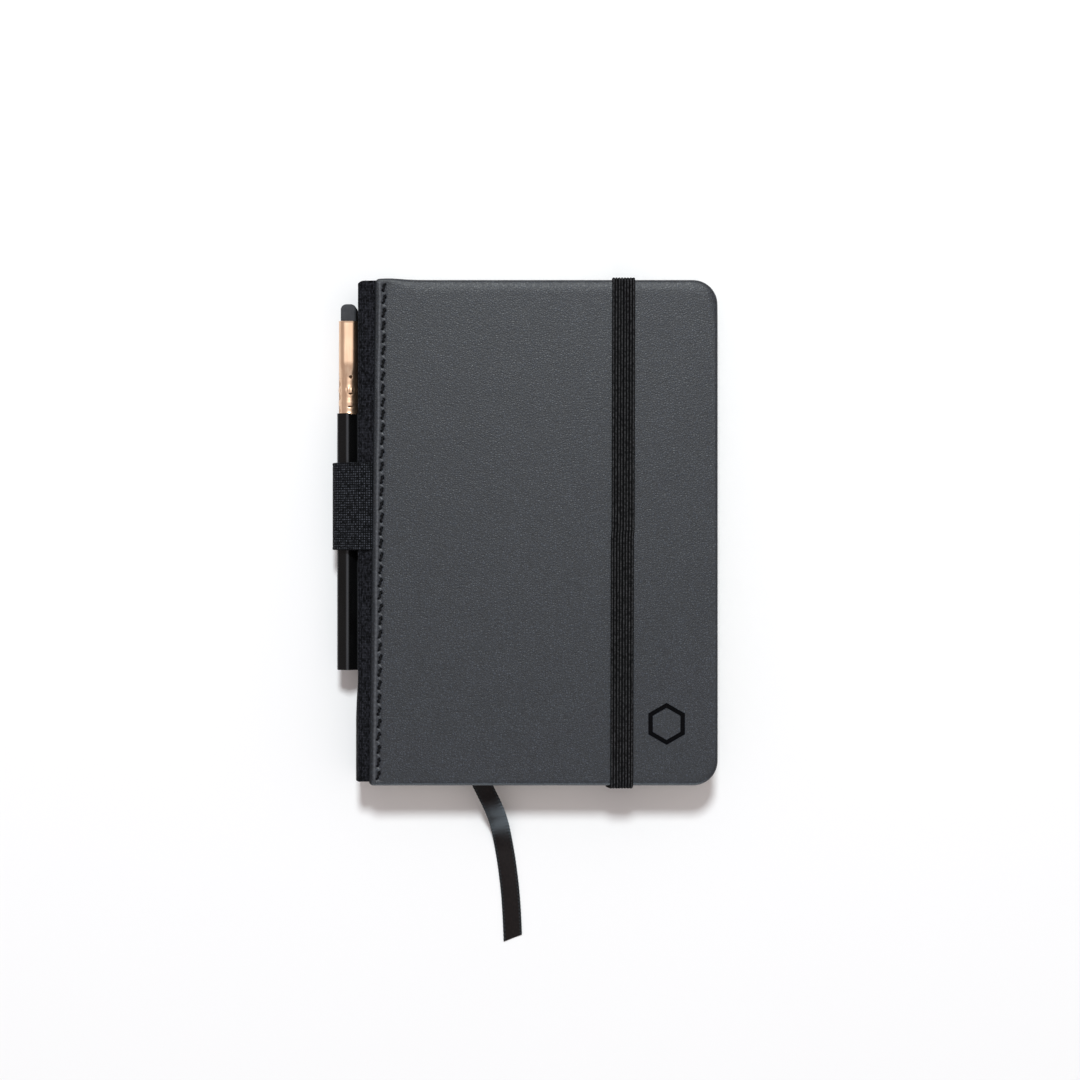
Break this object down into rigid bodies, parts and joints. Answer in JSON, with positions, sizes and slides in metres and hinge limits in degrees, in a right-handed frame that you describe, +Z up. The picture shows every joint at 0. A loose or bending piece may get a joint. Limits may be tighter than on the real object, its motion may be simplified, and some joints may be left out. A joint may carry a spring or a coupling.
{
  "type": "pocket notebook",
  "caption": "Hard-cover pocket notebook with an elastic closing band, bookmark ribbon and a pencil held in an elastic loop on the spine.",
  "frame": {"origin": "centre of the back cover's outer face, which the closed book rests on", "axes": "+X from the spine to the fore edge, +Y from the tail to the head, +Z up through the front cover"},
  "size_m": [0.1134, 0.1966, 0.0174],
  "materials": {
    "imitation_leather": "fine pressed grain, satin",
    "greyboard": "matte",
    "endpaper": "matte",
    "page_paper": "matte",
    "spine_cloth": "fine plain weave",
    "gauze": "open weave",
    "linen_thread": "twisted",
    "stitch_thread": "twisted",
    "elastic": "ribbed",
    "loop_webbing": "woven grid",
    "satin_ribbon": "satin",
    "pencil_lacquer": "black lacquer over cedar",
    "graphite": "burnished",
    "gold_metal": "polished, crimped",
    "clamp_metal": "polished",
    "eraser_rubber": "matte"
  },
  "bodies": {
    "back_cover": {"back_board": "greyboard", "back_leather": "imitation_leather", "back_stitching": "stitch_thread", "back_pastedown": "endpaper", "back_flyleaf": "endpaper", "spine_board": "greyboard", "spine_cloth": "spine_cloth", "spine_lining": "gauze", "sewing_thread": "linen_thread", "signature_06": "page_paper", "signature_07": "page_paper", "signature_08": "page_paper", "signature_09": "page_paper", "signature_10": "page_paper", "ribbon_anchor": "satin_ribbon", "ribbon_inner": "satin_ribbon", "ribbon_tail": "satin_ribbon", "elastic_end_head": "elastic", "elastic_end_tail": "elastic", "pencil_loop": "loop_webbing"},
    "front_cover": {"front_board": "greyboard", "front_leather": "imitation_leather", "front_stitching": "stitch_thread", "front_pastedown": "endpaper", "front_cloth": "spine_cloth"},
    "front_leaves": {"front_flyleaf": "endpaper", "signature_01": "page_paper", "signature_02": "page_paper", "signature_03": "page_paper", "signature_04": "page_paper", "signature_05": "page_paper"},
    "elastic": {"elastic_strap": "elastic"},
    "pencil": {"casing_left": "pencil_lacquer", "casing_right": "pencil_lacquer", "graphite_core": "graphite", "ferrule": "gold_metal"},
    "eraser": {"eraser": "eraser_rubber", "eraser_clamp": "clamp_metal"}
  },
  "joints": [
    {"name": "front_cover_opening", "type": "hinge", "parent": "back_cover", "child": "front_cover", "pos_m": [-0.052, 0, 0.01505], "axis": [0, -1, 0], "range_deg": [0, 187.5], "deforming": ["pencil_loop"]},
    {"name": "front_leaves_turning", "type": "hinge", "parent": "back_cover", "child": "front_leaves", "pos_m": [-0.052, 0, 0.01505], "axis": [0, -1, 0], "range_deg": [0, 176.5]},
    {"name": "elastic_pull", "type": "slide", "parent": "back_cover", "child": "elastic", "axis": [1, 0, 0], "range_m": [0, 0.035], "deforming": ["elastic_strap"]},
    {"name": "pencil_slide", "type": "slide", "parent": "back_cover", "child": "pencil", "axis": [0, 1, 0], "range_m": [0, 0.062]},
    {"name": "eraser_pull", "type": "slide", "parent": "pencil", "child": "eraser", "axis": [0, 1, 0], "range_m": [0, 0.011]}
  ],
  "couplings": [
    {"joint": "front_leaves_turning", "follows": "front_cover_opening", "ratio": 0.94},
    {"joint": "elastic_pull", "follows": "front_cover_opening", "m_per_rad": 0.01039}
  ]
}
